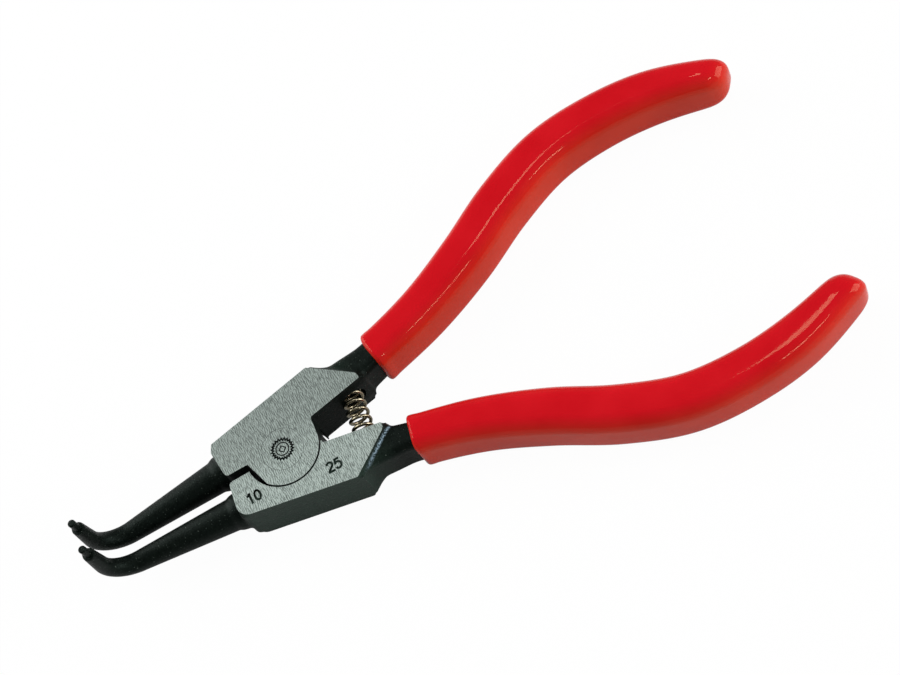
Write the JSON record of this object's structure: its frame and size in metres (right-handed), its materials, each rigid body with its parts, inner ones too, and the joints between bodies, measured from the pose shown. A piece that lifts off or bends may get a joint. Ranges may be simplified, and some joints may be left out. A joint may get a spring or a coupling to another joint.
{
  "type": "circlip pliers",
  "caption": "Bent-nose external circlip pliers: two lapped levers on a flush rivet, upturned tips with round pins, a return spring and dipped handle sleeves.",
  "frame": {"origin": "on the pivot axis, in the plane of the joint's ground underside", "axes": "+X from the pivot towards the handles along the middle line at rest, +Y to the upper lever, +Z out of the joint's top face, the way the tips bend"},
  "size_m": [0.1286, 0.061, 0.0177],
  "materials": {
    "blackened_steel": "black phosphated forging with ground joint faces",
    "rivet_steel": "ground flush",
    "spring_wire": "tempered wire, oil brown",
    "red_sleeve": "glossy dipped plastic"
  },
  "bodies": {
    "lower_half": {"lower_lever": "blackened_steel", "lower_grip": "red_sleeve", "return_spring": "spring_wire"},
    "upper_half": {"upper_lever": "blackened_steel", "upper_grip": "red_sleeve", "pivot_rivet": "rivet_steel"}
  },
  "joints": [
    {"name": "pivot", "type": "hinge", "parent": "lower_half", "child": "upper_half", "pos_m": [0, 0, 0.00445], "axis": [0, 0, -1], "range_deg": [-3, 24], "stiffness_Nm_per_rad": 0.5, "deforming": ["return_spring"]}
  ]
}
